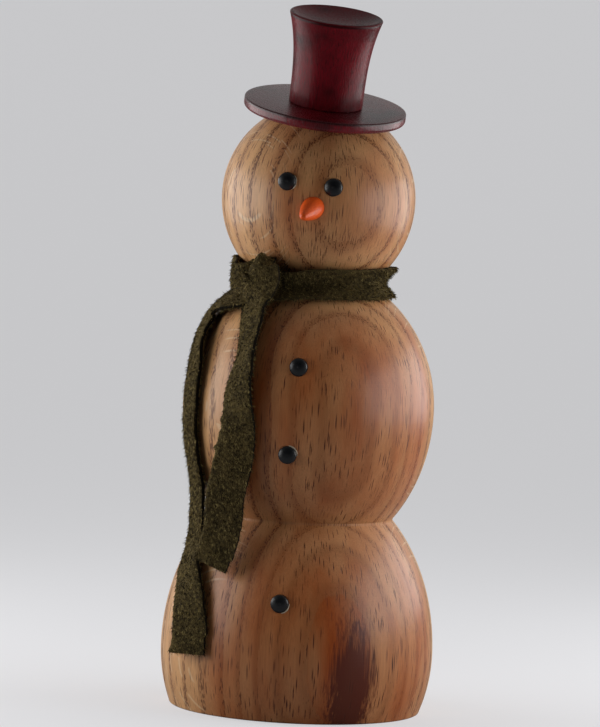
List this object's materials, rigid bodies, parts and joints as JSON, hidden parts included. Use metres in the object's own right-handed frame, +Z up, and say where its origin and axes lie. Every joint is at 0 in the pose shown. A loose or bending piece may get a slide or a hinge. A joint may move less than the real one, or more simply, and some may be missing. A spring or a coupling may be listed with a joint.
{
  "type": "wooden snowman figure",
  "caption": "Turned wooden snowman ornament with a tilted lift-off top hat, peg eyes and buttons, a carrot nose and a tied suede scarf; stands on its flat foot.",
  "frame": {"origin": "centre of the round foot, on its underside", "axes": "+Z up through the three balls, the figure faces -Y, +X to its left hand"},
  "size_m": [0.0742, 0.0742, 0.1918],
  "materials": {
    "oiled_oak": "satin oil and wax over open-pored turned oak",
    "wine_stained_wood": "wine-red stain under gloss lacquer",
    "plain_dowel": "bare planed dowel",
    "black_paint": "satin black paint on wooden pegs",
    "orange_paint": "satin orange paint on a carved wooden cone",
    "olive_suede": "napped olive green suede, cut edges"
  },
  "bodies": {
    "figure": {"turned_body": "oiled_oak", "left_eye_peg": "black_paint", "right_eye_peg": "black_paint", "carrot_nose": "orange_paint", "top_button_peg": "black_paint", "middle_button_peg": "black_paint", "lower_button_peg": "black_paint"},
    "hat_peg": {"hat_dowel": "plain_dowel"},
    "hat": {"hat_brim": "wine_stained_wood", "hat_crown": "wine_stained_wood"},
    "scarf": {"scarf_neck_band": "olive_suede", "scarf_knot": "olive_suede", "scarf_front_tail": "olive_suede", "scarf_back_tail": "olive_suede"}
  },
  "joints": [
    {"name": "hat_turn", "type": "hinge", "parent": "figure", "child": "hat_peg", "pos_m": [0.00087, -0.00433, 0.16206], "axis": [0.0954, -0.1809, 0.9789], "continuous": true},
    {"name": "hat_lift", "type": "slide", "parent": "hat_peg", "child": "hat", "axis": [0.0954, -0.1809, 0.9789], "range_m": [0, 0.014]},
    {"name": "scarf_turn", "type": "hinge", "parent": "figure", "child": "scarf", "pos_m": [0, 0, 0.1174], "axis": [0, 0, 1], "range_deg": [-250, 8]}
  ]
}
